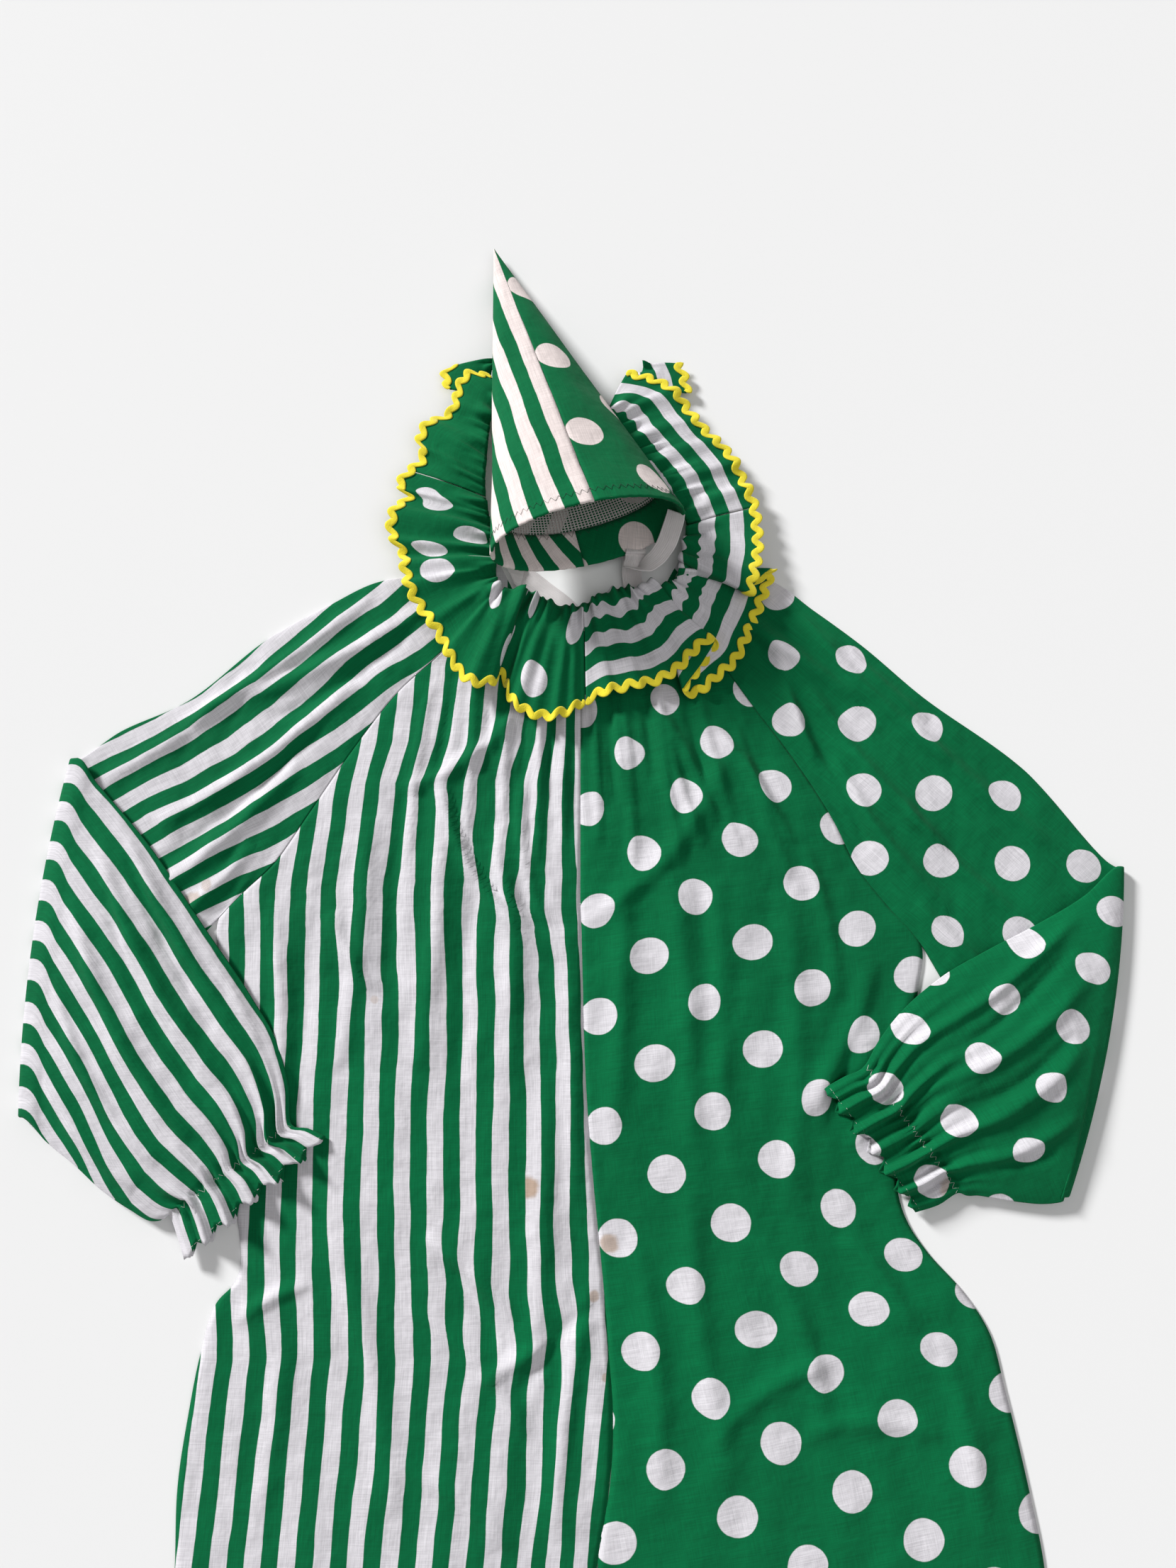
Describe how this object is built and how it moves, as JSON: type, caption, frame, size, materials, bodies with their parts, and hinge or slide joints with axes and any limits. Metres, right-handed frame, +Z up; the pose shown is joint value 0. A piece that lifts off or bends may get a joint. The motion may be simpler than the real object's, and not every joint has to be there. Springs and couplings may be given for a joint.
{
  "type": "clown costume",
  "caption": "Adult one-piece clown suit, half striped and half dotted in green and white, with a ruffled collar, folded-over sleeves and a matching cone hat, laid flat.",
  "frame": {"origin": "on the ground under the middle of the whole object's box", "axes": "+Y from the legs towards the neck and hat, +X towards the dotted half, +Z up from the ground, out of the suit's front"},
  "size_m": [1.0005, 1.9525, 0.1197],
  "materials": {
    "striped_cotton": "matte printed cotton, green and white stripes",
    "dotted_cotton": "matte printed cotton, green with white dots",
    "yellow_rickrack": "woven braid",
    "white_net": "stiff starched net",
    "white_elastic": "ribbed knitted elastic"
  },
  "bodies": {
    "root": {"front_stripe": "striped_cotton", "back_stripe": "striped_cotton", "sleeve_stripe": "striped_cotton", "collar_stripe_front": "striped_cotton", "collar_stripe_back": "striped_cotton", "hat_stripe": "striped_cotton", "front_dot": "dotted_cotton", "back_dot": "dotted_cotton", "sleeve_dot": "dotted_cotton", "collar_dot_front": "dotted_cotton", "collar_dot_back": "dotted_cotton", "hat_dot": "dotted_cotton", "rickrack_dot": "yellow_rickrack", "rickrack_stripe": "yellow_rickrack", "hat_net": "white_net", "hat_elastic": "white_elastic"}
  },
  "joints": []
}
